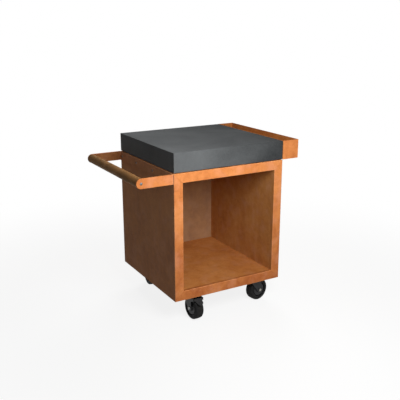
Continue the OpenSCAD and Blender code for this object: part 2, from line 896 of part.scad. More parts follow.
// Ear on a braked fork's leg that carries the pedal's pin
module ear_outline() {
    ear = [pedal_x, pedal_z];
    high = [crown_back, crown_top] - ear_top;
    low = [crown_back, crown_top] - ear_foot;
    translate(ear) circle(r = pedal_ear_r);
    polygon([high, tangent_point(high, ear, pedal_ear_r, 1), ear,
        tangent_point(low, ear, pedal_ear_r, -1), low]);
}

// Fork with the lower race's cup on its crown
module castor_fork(i, braked) {
    leg_depth = fork_out + cut;
    color(black) at_castor(i) difference() {
        union() {
            intersection() {
                lengthwise(crown_front - fork_end_r, pedal_x + 2 * pedal_ear_r) fork_section();
                upright(-leg_depth, leg_depth) {
                    leg_outline();
                    if (braked) ear_outline();
                }
            }
            translate([0, 0, crown_z]) cylinder(r = cup_r, h = fork_t);
            translate([0, 0, crown_top - merge]) tube(cup_r, race_out, cup_z - crown_top + merge);
            translate([0, 0, crown_top - merge])
                tube(race_out + merge, race_in + merge, shelf_h + merge);
        }
        translate([0, 0, crown_z - cut]) cylinder(r = pin_r + running, h = fork_t + 2 * cut);
        translate([trail, 0, wheel_r]) rod_y(axle_r + running, -leg_depth, leg_depth);
        if (braked)
            translate([pedal_x, 0, pedal_z]) rod_y(pedal_pin_r + running, -leg_depth, leg_depth);
    }
}

// Axle bolt with its head on the castor's -Y side and a nut on the other
module axle(i) {
    color(zinc) at_castor(i) translate([trail, 0, wheel_r]) rotate([-90, 0, 0]) {
        translate([0, 0, -fork_out])
            hex_bolt(axle_r, axle_head_r, axle_head_h, 2 * fork_out + axle_head_h + axle_end);
        translate([0, 0, fork_out]) nut(axle_r, axle_head_r, axle_head_h);
    }
}

module axle_sleeve(i) {
    color(zinc) at_castor(i) translate([trail, fork_in, wheel_r]) rotate([90, 0, 0])
        tube(sleeve_r, axle_r + running, 2 * fork_in);
}

// Turns a section drawn in radius and width about the axle of one castor
module about_axle(i) {
    at_castor(i) translate([trail, 0, wheel_r]) rotate([90, 0, 0]) rotate_extrude() children();
}

// Solid rubber tyre with round shoulders
module wheel_tyre(i) {
    half = tread_w / 2;
    depth = wheel_r - tyre_in;
    color(black) about_axle(i) {
        translate([tyre_in, -half]) square([depth - tyre_shoulder, tread_w]);
        translate([tyre_in, -half + tyre_shoulder]) square([depth, tread_w - 2 * tyre_shoulder]);
        for (s = [-1, 1])
            translate([wheel_r - tyre_shoulder, s * (half - tyre_shoulder)]) circle(r = tyre_shoulder);
    }
}

// Moulded core: hub, raised centre disc, groove inside the rim, and the rim
module wheel_core(i) {
    rim = tyre_in - running;
    bore = bush_r + running;
    disc_half = hub_half - disc_drop;
    groove_out = rim - rim_t;
    groove_in = groove_out - groove_w;
    disc_out = groove_in - core_draft;
    half_section = [[bore, hub_half], [bore + hub_wall, hub_half],
        [bore + hub_wall + core_draft, disc_half], [disc_out - disc_bevel, disc_half],
        [disc_out, disc_half - disc_bevel], [groove_in, web_half], [groove_out, web_half],
        [rim - rim_lip, hub_half - rim_drop], [rim, hub_half - rim_drop]];
    last = len(half_section) - 1;
    color(black) about_axle(i)
        polygon(concat(half_section,
            [for (k = [last:-1:0]) [half_section[k][0], -half_section[k][1]]]));
}

// Two flanged bushes in the hub
module wheel_bushes(i) {
    inner = hub_half - bush_l;
    bore = sleeve_r + running;
    color("ivory") for (s = [-1, 1]) about_axle(i)
        polygon([[bore, s * inner], [bush_r, s * inner], [bush_r, s * hub_half],
            [bush_r + bush_rim, s * hub_half], [bush_r + bush_rim, s * (hub_half + bush_flange)],
            [bore, s * (hub_half + bush_flange)]]);
}

// Side view of a pedal cheek: round about the pin, tapering into the foot plate
module cheek_outline() {
    pin = [0, 0];
    corner = [pedal_neck, pedal_ear_r - pedal_t - cheek_lap];
    circle(r = pedal_cheek_r);
    polygon([[0, pedal_ear_r], [pedal_neck, pedal_ear_r], corner,
        tangent_point(corner, pin, pedal_cheek_r, 1), pin]);
}

// Brake pedal: two cheeks with pins in the fork's ears, a sloping foot plate and a brake shoe
module brake_pedal(i) {
    plate_low = pedal_ear_r - pedal_t;
    foot = pedal_l - pedal_w / 2;
    color(black) at_castor(i) difference() {
        translate([pedal_x, 0, pedal_z]) rotate([0, pedal_slope, 0]) {
            rod_y(pedal_pin_r, -fork_out - end_play - merge, fork_out + end_play + merge);
            for (s = [-1, 1])
                translate([0, s * (fork_out + end_play + pedal_pin_head / 2), 0])
                    rod_y(pedal_pin_r + pedal_pin_rim, -pedal_pin_head / 2, pedal_pin_head / 2);
            upright(-pedal_half, -pedal_half + pedal_t) cheek_outline();
            upright(pedal_half - pedal_t, pedal_half) cheek_outline();
            block([0, -pedal_half, plate_low], [pedal_neck, pedal_half, pedal_ear_r]);
            block([0, -pedal_w / 2, plate_low], [foot, pedal_w / 2, pedal_ear_r]);
            translate([foot, 0, plate_low]) cylinder(r = pedal_w / 2, h = pedal_t);
            for (k = [1:rib_count])
                translate([pedal_neck + rib_pitch * k, 0, pedal_ear_r])
                    block([0, -pedal_w / 4, -merge], [rib_w, pedal_w / 4, pedal_rib]);
            upright(-pedal_w / 2, pedal_w / 2)
                polygon([[shoe_root_x, plate_low + merge],
                    [pedal_neck + rib_pitch, plate_low + merge],
                    [shoe_x + shoe_l, -shoe_reach], [shoe_x, -shoe_reach]]);
        }
        translate([trail, 0, wheel_r]) rod_y(wheel_r + shoe_gap, -pedal_w / 2 - cut, pedal_w / 2 + cut);
    }
}

side_panel_left();
side_panel_right();
front_rail_top();
front_rail_bottom();
liner_left();
liner_right();
floor_panel();
ceiling_panel();
top_deck();
back_panel();
back_panel_screws();
castor_rail_front();
castor_rail_rear();
worktop_top();
worktop_apron_front();
worktop_apron_back();
worktop_apron_left();
worktop_apron_right();
worktop_board();
worktop_bearers();
worktop_pads();
worktop_bolts();
handle_bracket();
handle_bar();
handle_end_screws();
handle_bracket_screws();
herb_tray();
castor_bolts();
king_pins();
swivel_balls();
castor_plate(FL);  // castor_plate_fl
castor_plate(FR);  // castor_plate_fr
castor_plate(RL);  // castor_plate_rl
castor_plate(RR);  // castor_plate_rr
castor_fork(FL, true);  // castor_fork_fl
castor_fork(FR, false);  // castor_fork_fr
castor_fork(RL, true);  // castor_fork_rl
castor_fork(RR, false);  // castor_fork_rr
axle(FL);  // axle_fl
axle(FR);  // axle_fr
axle(RL);  // axle_rl
axle(RR);  // axle_rr
axle_sleeve(FL);  // axle_sleeve_fl
axle_sleeve(FR);  // axle_sleeve_fr
axle_sleeve(RL);  // axle_sleeve_rl
axle_sleeve(RR);  // axle_sleeve_rr
wheel_tyre(FL);  // wheel_tyre_fl
wheel_tyre(FR);  // wheel_tyre_fr
wheel_tyre(RL);  // wheel_tyre_rl
wheel_tyre(RR);  // wheel_tyre_rr
wheel_core(FL);  // wheel_core_fl
wheel_core(FR);  // wheel_core_fr
wheel_core(RL);  // wheel_core_rl
wheel_core(RR);  // wheel_core_rr
wheel_bushes(FL);  // wheel_bushes_fl
wheel_bushes(FR);  // wheel_bushes_fr
wheel_bushes(RL);  // wheel_bushes_rl
wheel_bushes(RR);  // wheel_bushes_rr
brake_pedal(FL);  // brake_pedal_fl
brake_pedal(RL);  // brake_pedal_rl
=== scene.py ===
"""Prep table: finishes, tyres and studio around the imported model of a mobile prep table.

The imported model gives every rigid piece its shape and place, in metres, with X along the front,
the front facing -Y and Z up. The operators below give each piece its finish, put detailed tyres in
the place of the plain ones, and set up the floor, the lamps and the camera.
"""

import json
import math

import bpy
import numpy as np
from bpy.props import FloatProperty, FloatVectorProperty, IntProperty, PointerProperty
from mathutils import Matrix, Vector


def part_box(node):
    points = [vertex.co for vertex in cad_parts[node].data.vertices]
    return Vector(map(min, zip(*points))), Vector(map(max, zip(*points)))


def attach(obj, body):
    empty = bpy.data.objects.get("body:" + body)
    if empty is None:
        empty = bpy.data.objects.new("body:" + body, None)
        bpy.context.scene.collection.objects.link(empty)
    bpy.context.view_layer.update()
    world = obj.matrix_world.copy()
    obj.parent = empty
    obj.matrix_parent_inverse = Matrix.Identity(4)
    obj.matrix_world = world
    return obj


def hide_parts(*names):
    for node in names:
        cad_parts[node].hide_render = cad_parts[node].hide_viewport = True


bl_info = {
    "name": "Prep table",
    "version": (1, 0, 0),
    "blender": (4, 5, 0),
    "location": "3D View > Sidebar > Prep table",
    "description": "Finishes, tyres and studio of a steel prep table on castors",
    "category": "Object",
}

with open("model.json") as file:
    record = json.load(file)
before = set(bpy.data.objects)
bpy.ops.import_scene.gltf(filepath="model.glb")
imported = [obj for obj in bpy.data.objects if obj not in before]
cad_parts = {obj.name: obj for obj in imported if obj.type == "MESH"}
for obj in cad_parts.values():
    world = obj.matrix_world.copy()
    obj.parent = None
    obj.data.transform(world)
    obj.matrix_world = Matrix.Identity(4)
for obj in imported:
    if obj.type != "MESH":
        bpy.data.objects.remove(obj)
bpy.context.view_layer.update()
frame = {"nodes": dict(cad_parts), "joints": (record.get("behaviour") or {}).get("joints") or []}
NODES = frame["nodes"]
CORNERS = {"fl": "front_left", "fr": "front_right", "rl": "rear_left", "rr": "rear_right"}
MM = 0.001


# Finishes: the nodes of a material

class Signal:
    """An output socket of a material's node. Sums, products and powers of it add Math nodes."""

    def __init__(self, finish, socket):
        self.finish = finish
        self.socket = socket

    def math(self, operation, *values, clamp=False):
        """One Math node, with the values or signals in its sockets."""
        return self.finish.node("ShaderNodeMath", {"operation": operation, "use_clamp": clamp},
                                dict(enumerate(values)))

    def __add__(self, other):
        return self.math("ADD", self, other)

    def __radd__(self, other):
        return self.math("ADD", other, self)

    def __sub__(self, other):
        return self.math("SUBTRACT", self, other)

    def __rsub__(self, other):
        return self.math("SUBTRACT", other, self)

    def __mul__(self, other):
        return self.math("MULTIPLY", self, other)

    def __rmul__(self, other):
        return self.math("MULTIPLY", other, self)

    def __pow__(self, other):
        return self.math("POWER", self, other)

    def size(self):
        """The signal without its sign."""
        return self.math("ABSOLUTE", self)

    def share(self):
        """The signal held between 0 and 1."""
        return self.math("ADD", self, 0.0, clamp=True)

    def swing(self, width):
        """Turns a signal from 0 to 1 into one about 0 that is as wide as given."""
        return (self - 0.5) * width

    def rise(self, low, high):
        """0 below low and 1 above high, with a smooth step between. High below low turns it round:
        0 above low and 1 below high."""
        if low > high:
            return 1 - self.rise(high, low)
        return self.finish.node("ShaderNodeMapRange", {"interpolation_type": "SMOOTHSTEP"},
                                {"Value": self, "From Min": low, "From Max": high})


class Finish:
    """A material in the making: one Principled shader and the nodes that vary it."""

    def __init__(self, name, **constants):
        self.material = bpy.data.materials.new(name)
        self.material.use_nodes = True
        self.tree = self.material.node_tree
        self.shader = next(n for n in self.tree.nodes if n.type == "BSDF_PRINCIPLED")
        for socket, value in constants.items():
            self.shader.inputs[socket.replace("_", " ")].default_value = value

    def node(self, kind, settings, sockets, output=0):
        """Adds a node: its settings first, then the values or links of its sockets."""
        made = self.tree.nodes.new(kind)
        for name, value in settings.items():
            if name == "stops":
                self.set_stops(made.color_ramp, value)
            else:
                setattr(made, name, value)
        for name, value in sockets.items():
            if isinstance(value, Signal):
                self.tree.links.new(value.socket, made.inputs[name])
            else:
                made.inputs[name].default_value = value
        return Signal(self, made.outputs[output])

    @staticmethod
    def set_stops(ramp, stops):
        """Puts the stops, pairs of place and colour, on a colour ramp."""
        while len(ramp.elements) < len(stops):
            ramp.elements.new(1.0)
        for element, (place, colour) in zip(ramp.elements, stops):
            element.position = place
            element.color = opaque(colour)

    def place(self, shift=(0, 0, 0), stretch=(1, 1, 1)):
        """Object coordinates, moved and stretched to seat a pattern on its piece."""
        where = self.node("ShaderNodeTexCoord", {}, {}, "Object")
        return self.node("ShaderNodeMapping", {},
                         {"Vector": where, "Location": shift, "Scale": stretch})

    def axes(self):
        """The three Object coordinates, which are metres in the model's frame."""
        split = self.node("ShaderNodeSeparateXYZ", {}, {"Vector": self.place()})
        return [Signal(self, s) for s in split.socket.node.outputs]

    def noise(self, where, size, detail=2.0, roughness=0.5, distortion=0.0):
        """Noise whose largest features are about the given size in metres."""
        return self.node("ShaderNodeTexNoise", {}, {
            "Vector": where, "Scale": 1 / size, "Detail": detail, "Roughness": roughness,
            "Distortion": distortion})

    def mix(self, share, low, high, blend="MIX"):
        """Colour low where the share is 0, colour high where it is 1. A Mix node's sockets go by
        number here, because the ones for numbers, vectors and colours have the same names."""
        low, high = (end if isinstance(end, Signal) else opaque(end) for end in (low, high))
        return self.node("ShaderNodeMix", {"data_type": "RGBA", "blend_type": blend},
                         {0: share, 6: low, 7: high}, 2)

    def tinted(self, share, colour, tint):
        """A colour times a tint where the share is 1."""
        return self.mix(share, colour, tint, "MULTIPLY")

    def ramp(self, share, *stops):
        """Colour ramp over a share."""
        return self.node("ShaderNodeValToRGB", {"stops": stops}, {"Fac": share})

    def feed(self, **signals):
        """Links signals to the shader's sockets."""
        for socket, signal in signals.items():
            self.tree.links.new(signal.socket, self.shader.inputs[socket.replace("_", " ")])

    def relief(self, height, depth):
        """Bumps the surface by a height from 0 to 1 that is depth metres high."""
        self.feed(Normal=self.node("ShaderNodeBump", {}, {"Height": height, "Distance": depth},
                                   "Normal"))

    def coat(self, *nodes):
        """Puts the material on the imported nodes."""
        for name in nodes:
            mesh = NODES[name].data
            mesh.materials.clear()
            mesh.materials.append(self.material)


def opaque(colour):
    """A colour with full opacity."""
    return (*tuple(colour)[:3], 1.0)


def scaled(colour, factor):
    """A lighter or darker version of a colour."""
    return tuple(min(1.0, c * factor) for c in tuple(colour)[:3])


def corner_nodes(*stems):
    """Names of the castor nodes that start with these stems, at all four corners."""
    return [f"{stem}_{corner}" for stem in stems for corner in CORNERS]


# Sizes and colours that a user may change

def colour_property(name, description, default):
    """A colour with its name, description and default."""
    return FloatVectorProperty(name=name, description=description, default=default,
                               subtype="COLOR", size=3, min=0.0, max=1.0)


def length_property(name, description, default):
    """A length in metres with its name, description and default."""
    return FloatProperty(name=name, description=description, default=default, min=0.0,
                         unit="LENGTH", precision=4)


def share_property(name, description, default):
    """A share from 0 to 1 with its name, description and default."""
    return FloatProperty(name=name, description=description, default=default, min=0.0, max=1.0,
                         subtype="FACTOR")


class PREPTABLE_PG_steel(bpy.types.PropertyGroup):
    """Tones and grain of the weathered steel"""

    light: colour_property("Light rust", "Lightest tone of the outer rust", (0.93, 0.39, 0.14))
    middle: colour_property("Rust", "Middle tone of the outer rust", (0.73, 0.252, 0.068))
    dark: colour_property("Dark rust", "Darkest tone of the outer rust", (0.47, 0.125, 0.030))
    blush: colour_property("Blush", "Pinkish tone in the clouds of the rust", (0.80, 0.33, 0.17))
    # Paler tone of the frame's edges: partly wear, partly a painted highlight along the folds
    worn: colour_property("Rubbed edges", "Tone of the frame's rubbed edges", (0.95, 0.50, 0.24))
    # Painted shade: a dull, greyish, less red tone for the left flank, which faces away from the
    # light, and the bay's back
    shade_film: colour_property("Dull film", "Film on the left flank and the bay's back",
                          (0.39, 0.35, 0.26))
    # Painted shade: a darker, less red tint for the walls, ceiling and back inside the bay
    bay_shade: colour_property("Shelter", "Tint of sheltered faces on the rust", (0.66, 0.80, 0.76))
    # Painted shade: a darker tint for the bay's floor, the frame's inner lips, the tray's inside,
    # the top deck under the worktop and the castor rails
    tread: colour_property("Bay floor", "Tint of the bay's floor on the rust", (0.66, 0.68, 0.54))
    # Painted shade: a darker, greyer tint for the inner faces of the handle's arms, between them
    arms: colour_property("Inner arms", "Tint of the arms' inner faces on the rust",
                          (0.44, 0.50, 0.56))
    cloud_size: length_property("Clouds", "Size of the rust's wide clouds", 0.16)
    patch_size: length_property("Patches", "Size of the rust's small patches", 0.035)
    # Painted shade: how much darker the outer rust is made low down, where less light falls
    splash: share_property("Splash", "How much darker the outer rust is low down", 0.22)
    run_size: length_property("Runs", "Width of the upright runs left by rain", 0.03)
    grain_size: length_property("Grain", "Size of the rust's grain", 0.0022)
    roughness: share_property("Roughness", "Roughness of the rust", 0.84)


class PREPTABLE_PG_worktop(bpy.types.PropertyGroup):
    """Tones and grain of the ceramic worktop"""

    light: colour_property("Light tone", "Lighter tone of the ceramic", (0.146, 0.153, 0.156))
    dark: colour_property("Dark tone", "Darker tone of the ceramic", (0.022, 0.024, 0.025))
    cloud_size: length_property("Clouds", "Size of the ceramic's soft clouds", 0.33)
    grain_size: length_property("Grain", "Size of the ceramic's grain", 0.0015)
    roughness: share_property("Roughness", "Roughness of the honed face", 0.66)


class PREPTABLE_PG_metals(bpy.types.PropertyGroup):
    """Colours of the handle bar, the plated pieces and the painted castor steel"""

    bronze: colour_property("Bronze", "Colour of the handle bar", (0.32, 0.155, 0.050))
    zinc: colour_property("Zinc", "Colour of the zinc plating", (0.62, 0.62, 0.61))
    darkened: colour_property("Browned zinc", "Colour of the handle's rust-stained screws",
                             (0.13, 0.085, 0.06))
    alloy: colour_property("Alloy", "Colour of the aluminium bearers", (0.60, 0.61, 0.62))
    paint: colour_property("Black paint", "Colour of the forks and pedals", (0.009, 0.009, 0.010))


class PREPTABLE_PG_wheels(bpy.types.PropertyGroup):
    """Sizes and colours of the tyres, wheel cores and bushes"""

    rubber: colour_property("Rubber", "Colour of the tyres", (0.009, 0.009, 0.009))
    dust: colour_property("Dust", "Dust on the treads", (0.034, 0.031, 0.027))
    core: colour_property("Core", "Colour of the wheel cores", (0.010, 0.010, 0.011))
    bush: colour_property("Bush", "Colour of the nylon bushes", (0.045, 0.045, 0.043))
    mould_line: length_property("Mould line", "Height of the mould line round the tread", 0.0003)
    crown: length_property("Crown", "Drop of the tread from its middle to its shoulders", 0.0008)
    ring: length_property("Rings", "Height of the moulded rings on the tyre walls", 0.0006)
    around: IntProperty(name="Facets", description="Steps round one tyre", default=144, min=24)


class PREPTABLE_PG_studio(bpy.types.PropertyGroup):
    """Floor, lamps and camera"""

    floor: colour_property("Floor", "Colour of the floor", (0.93, 0.93, 0.92))
    key_power: FloatProperty(name="Key lamp", description="Power of the key lamp", default=23.5,
                             min=0.0, unit="POWER")
    front_power: FloatProperty(name="Front lamp", description="Power of the low lamp in front",
                               default=6.0, min=0.0, unit="POWER")
    back_power: FloatProperty(name="Back lamp", description="Power of the lamp behind",
                              default=60.0, min=0.0, unit="POWER")
    fill: share_property("Fill", "Soft light from all round", 0.09)
    camera_place: FloatVectorProperty(name="Camera", description="Place of the camera",
                                      default=(-1.644, -2.865, 1.502), unit="LENGTH", size=3)
    camera_turn: FloatProperty(name="Turn", description="Turn of the camera to the right of +Y",
                               default=math.radians(29.95), subtype="ANGLE")
    camera_tilt: FloatProperty(name="Tilt", description="Tilt of the camera below the horizon",
                               default=math.radians(16.09), subtype="ANGLE")
    lens: FloatProperty(name="Lens", description="Focal length in millimetres", default=55.23,
                        min=1.0)


# Steel

# Where the dark, middle and light rust lie on the ramp
RUST_STOPS = 0.12, 0.50, 0.92
# Heights in metres where the painted shade low down ends and where it is full
LOW_SHADE_HEIGHTS = 0.66, 0.24
# Noise values where a pattern begins and where it is full, and how much of it shows
BLUSH_LEVELS = 0.45, 0.72
FLECK_LEVELS, FLECK_SHARE = (0.61, 0.70), 0.35
# The frame's paler edges are partly wear and partly a painted highlight along the folds
WEAR_HIGHLIGHT_LEVELS, WEAR_HIGHLIGHT_SHARE = (0.30, 0.55), 0.40
WEAR_HIGHLIGHT_WIDTH = 2.2 * MM
# The ground welds: how dark they are, how far they dip in the relief, and half their width
WELD_SHARE, WELD_DROP, WELD_HALF = 0.22, 0.8, 0.9 * MM
# The painted shade on the left flank: how much of it shows, and how far out from the left side it
# reaches, which is past the outer face of the handle's plate
SHADE_FILM_SHARE, SHADE_FILM_REACH = 0.3, 6.5 * MM
# Distances from the middle of the handle bar where its wear ends and where it is full
GRIP_FADE = 260 * MM, 100 * MM


def weathered_steel(name, look, shift, tint, hollow=None, mitres=False, splash=0.0, tone=0.52,
                    blush=0.45, shade_film_inside=False):
    """Rusted steel sheet. Wide clouds, patches, upright runs and a fine grain move the colour
    between a dark, a middle and a light rust, and a second cloud blushes it. Painted shade, as much
    as asked, makes it darker low down. The tint is painted shade too: it darkens the sheet all
    over, or on the faces inside a hollow. Where the sheet has mitred corners, a ground weld shows
    as a slim darker line at 45 degrees, and the frame's edges are paler, partly as wear and partly
    as a painted highlight along the folds. A dull, greyish painted shade lies on the left flank
    and, if asked, inside the hollow. The tone is the rust's mean place between dark, 0, and light,
    1, and blush is the second cloud's share."""
    steel = Finish(name, Specular_IOR_Level=0.28)
    where = steel.place(shift)
    clouds = steel.noise(where, look.cloud_size, detail=3.0, roughness=0.55, distortion=0.3)
    patches = steel.noise(where, look.patch_size, detail=5.0, roughness=0.62, distortion=0.5)
    drawn_out = steel.place(shift, stretch=(1, 1, 0.06))
    runs = steel.noise(drawn_out, look.run_size, detail=3.0, roughness=0.6)
    grain = steel.noise(where, look.grain_size, roughness=0.7)
    flecks = steel.noise(where, look.grain_size * 3).rise(*FLECK_LEVELS)
    # Painted shade: darker low down, where less light falls
    shaded_low = steel.axes()[2].rise(*LOW_SHADE_HEIGHTS) * splash
    tones = (tone - shaded_low + clouds.swing(0.65) + patches.swing(0.65) + runs.swing(0.3)
             + grain.swing(0.6)).share()
    colour = steel.ramp(tones, *zip(RUST_STOPS, (look.dark, look.middle, look.light)))
    second = steel.noise(steel.place((3.1, 1.7, 5.3)), look.cloud_size * 0.45, detail=3.0)
    colour = steel.mix(second.rise(*BLUSH_LEVELS) * blush, colour, look.blush)
    colour = steel.mix(flecks * FLECK_SHARE, colour, look.dark)
    height = grain * 0.6 + patches * 0.4
    if mitres:
        weld, rims = frame_lines(steel)
        # Paler edges: partly wear, partly a painted highlight along the folds
        rubbed_and_highlit = rims * patches.rise(*WEAR_HIGHLIGHT_LEVELS)
        colour = steel.mix(rubbed_and_highlit * WEAR_HIGHLIGHT_SHARE, colour, look.worn)
        colour = steel.mix(weld * WELD_SHARE, colour, look.dark)
        height = height - weld * WELD_DROP
    # Painted shade: the tint darkens the faces inside the hollow, or the whole sheet, where little
    # light reaches
    darkened = 1.0 if hollow is None else inside(steel, *hollow)
    colour = steel.tinted(darkened, colour, tint)
    # Painted shade: a dull greyish tone on the left flank and, if asked, inside the hollow
    shade_film = left_flank(steel)
    if shade_film_inside:
        shade_film = shade_film + darkened
    colour = steel.mix(shade_film * SHADE_FILM_SHARE, colour, look.shade_film)
    steel.feed(Base_Color=colour, Roughness=look.roughness + patches.swing(0.25))
    steel.relief(height, depth=0.25 * MM)
    return steel


def inside(steel, low, high):
    """1 in the box between two corners, with a soft edge of a millimetre outside it."""
    within = 1
    for place, least, most in zip(steel.axes(), low, high):
        within = within * place.rise(least - MM, least) * place.rise(most + MM, most)
    return within


# The painted shade of the left flank goes here
def left_flank(steel):
    """1 on the outer face of the cabinet's left side and on the handle's plate that covers it."""
    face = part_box("side_panel_left")[0].x
    far = face - SHADE_FILM_REACH
    x = steel.axes()[0]
    return x.rise(face + MM, face + 0.2 * MM) * x.rise(far, far + MM)


def hollow_of(node, wall):
    """The box inside a node's own box, a wall's thickness in from each side."""
    low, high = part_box(node)
    return [c + wall for c in low], [c - wall for c in high]


def frame_lines(steel):
    """Two signals on the front face of the frame. The first is 1 on the four mitred joints: where
    the distance to the side equals the distance to the top or the bottom, within the frame's width.
    The second is 1 on the outer and inner edges: where the least of these distances is near 0 or
    near the width."""
    low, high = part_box("front_rail_bottom"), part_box("front_rail_top")
    width = high[1].z - high[0].z
    x, y, z = steel.axes()
    side = high[1].x - x.size()
    front = y.rise(high[0].y + 2 * MM, high[0].y + MM)
    lines, least = 0, side
    for edge in (high[1].z - z, z - low[0].z):
        weld = (side - edge).size().rise(2 * WELD_HALF, WELD_HALF)
        lines = lines + weld * edge.rise(width, width - WELD_HALF)
        least = least.math("MINIMUM", least, edge)
    rims = least.rise(WEAR_HIGHLIGHT_WIDTH, 0) + least.rise(width - WEAR_HIGHLIGHT_WIDTH, width)
    return (lines * front).share(), (rims * front).share()


class PREPTABLE_OT_cabinet(bpy.types.Operator):
    """Weathered steel on the cabinet's outside and its bay"""

    bl_idname = "preptable.cabinet"
    bl_label = "Cabinet steel"

    def execute(self, context):
        look = context.scene.prep_steel
        hollow = cabinet_hollow()
        # Painted shade low down on the cabinet's outside
        splash = look.splash
        # The tints passed below are painted shade inside the bay, on its floor and under the
        # worktop
        weathered_steel("steel_walls", look, shift=(0, 0, 0), tint=look.bay_shade, hollow=hollow,
                        mitres=True, splash=splash).coat("side_panel_left", "side_panel_right")
        weathered_steel("steel_rails", look, shift=(1.3, 0.4, 2.2), tint=look.tread, hollow=hollow,
                        mitres=True, splash=splash).coat("front_rail_top", "front_rail_bottom")
        weathered_steel("steel_back", look, shift=(4.1, 2.6, 0.8), tint=look.bay_shade,
                        hollow=hollow, splash=splash, shade_film_inside=True).coat("back_panel")
        weathered_steel("steel_bay_sides", look, shift=(2.7, 5.2, 1.1), tint=look.bay_shade).coat(
            "liner_left", "liner_right", "ceiling_panel")
        weathered_steel("steel_bay_floor", look, shift=(6.3, 1.9, 3.4), tint=look.tread).coat(
            "floor_panel", "top_deck", "castor_rail_front", "castor_rail_rear")
        return {"FINISHED"}


# The faces inside this box get the painted shade of the bay
def cabinet_hollow():
    """The box from behind the front frame to just within the front face of the back panel."""
    inset = 3 * MM
    low, high = hollow_of("back_panel", inset)
    low[1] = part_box("front_rail_top")[0].y + inset
    high[1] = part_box("back_panel")[0].y + 0.5 * MM
    return low, high


class PREPTABLE_OT_handle(bpy.types.Operator):
    """Weathered steel on the handle's bracket and a satin bronze bar"""

    bl_idname = "preptable.handle"
    bl_label = "Push handle"

    def execute(self, context):
        look = context.scene.prep_steel
        # The tint here is painted shade on the arms' inner faces
        weathered_steel("steel_bracket", look, shift=(7.7, 3.3, 4.5), tint=look.arms,
                        hollow=arms_hollow(), tone=0.38).coat("handle_bracket")
        bronze_bar(context.scene.prep_metals.bronze).coat("handle_bar")
        return {"FINISHED"}


# The faces inside this box get the painted shade of the arms
def arms_hollow():
    """The box between the handle's arms, from past their ends to short of the bracket's plate."""
    inset = 2 * MM
    plate = 5 * MM
    low, high = hollow_of("handle_bracket", inset)
    low[0] -= 2 * inset
    high[0] -= plate
    return low, high


def bronze_bar(colour):
    """Bronze-brown satin tube: faint draw marks along its length, worn lighter where hands go."""
    bar = Finish("bronze_bar", IOR=1.2, Specular_IOR_Level=0.3)
    where = bar.place()
    marks = bar.noise(bar.place(stretch=(1, 0.02, 1)), size=1.6 * MM, roughness=0.6)
    clouds = bar.noise(where, size=70 * MM, detail=3.0, roughness=0.6)
    grain = bar.noise(where, size=1.2 * MM, detail=1.0)
    from_middle = bar.axes()[1].size()
    worn = from_middle.rise(*GRIP_FADE) * clouds.rise(0.35, 0.70)
    tones = 0.5 + clouds.swing(0.8) + marks.swing(0.5)
    shade = bar.ramp(tones, (0.2, scaled(colour, 0.72)), (0.8, scaled(colour, 1.30)))
    bar.feed(Base_Color=bar.mix(worn * 0.25, shade, scaled(colour, 1.7)),
             Roughness=0.60 + grain.swing(0.16) - worn * 0.06)
    bar.relief(marks * 0.7 + grain * 0.3, depth=0.01 * MM)
    return bar


class PREPTABLE_OT_herb_tray(bpy.types.Operator):
    """Weathered steel on the herb tray"""

    bl_idname = "preptable.herb_tray"
    bl_label = "Herb tray"

    def execute(self, context):
        look = context.scene.prep_steel
        # The tint here is painted shade on the tray's inside
        weathered_steel("steel_tray", look, shift=(4.2, 1.1, 7.3), tint=look.tread,
                        hollow=tray_hollow(), tone=0.48, blush=0.05).coat("herb_tray")
        return {"FINISHED"}


# The faces inside this box get painted shade
def tray_hollow():
    """The box inside the herb tray, which is open at the top."""
    inset = 2 * MM
    low, high = hollow_of("herb_tray", inset)
    high[2] += 2 * inset
    return low, high


# Worktop

# Noise values where the specks begin and where they are full, and how much of them shows
PALE_LEVELS, PALE_SHARE = (0.66, 0.74), 0.18
BLACK_LEVELS, BLACK_SHARE = (0.64, 0.72), 0.30
# Places along X where the painted shade leaves the ceramic darkest and where the painted reflection
# makes it lightest
REFLECTION_DARK_END, REFLECTION_LIGHT_END = 0.40, -0.30
FIBRE_DARK, FIBRE_LIGHT = (0.30, 0.19, 0.10), (0.50, 0.36, 0.21)


class PREPTABLE_OT_worktop(bpy.types.Operator):
    """Honed ceramic on the worktop, and what carries it"""

    bl_idname = "preptable.worktop"
    bl_label = "Worktop"

    def execute(self, context):
        look = context.scene.prep_worktop
        honed_ceramic("ceramic_slab", look, shift=(0, 0, 0)).coat("worktop_top")
        honed_ceramic("ceramic_aprons", look, shift=(2.3, 4.1, 0.7)).coat(
            *(f"worktop_apron_{side}" for side in ("front", "back", "left", "right")))
        fibre_board().coat("worktop_board")
        extruded_alloy(context.scene.prep_metals.alloy).coat("worktop_bearers")
        moulded_rubber("pad_rubber", context.scene.prep_wheels.rubber).coat("worktop_pads")
        return {"FINISHED"}


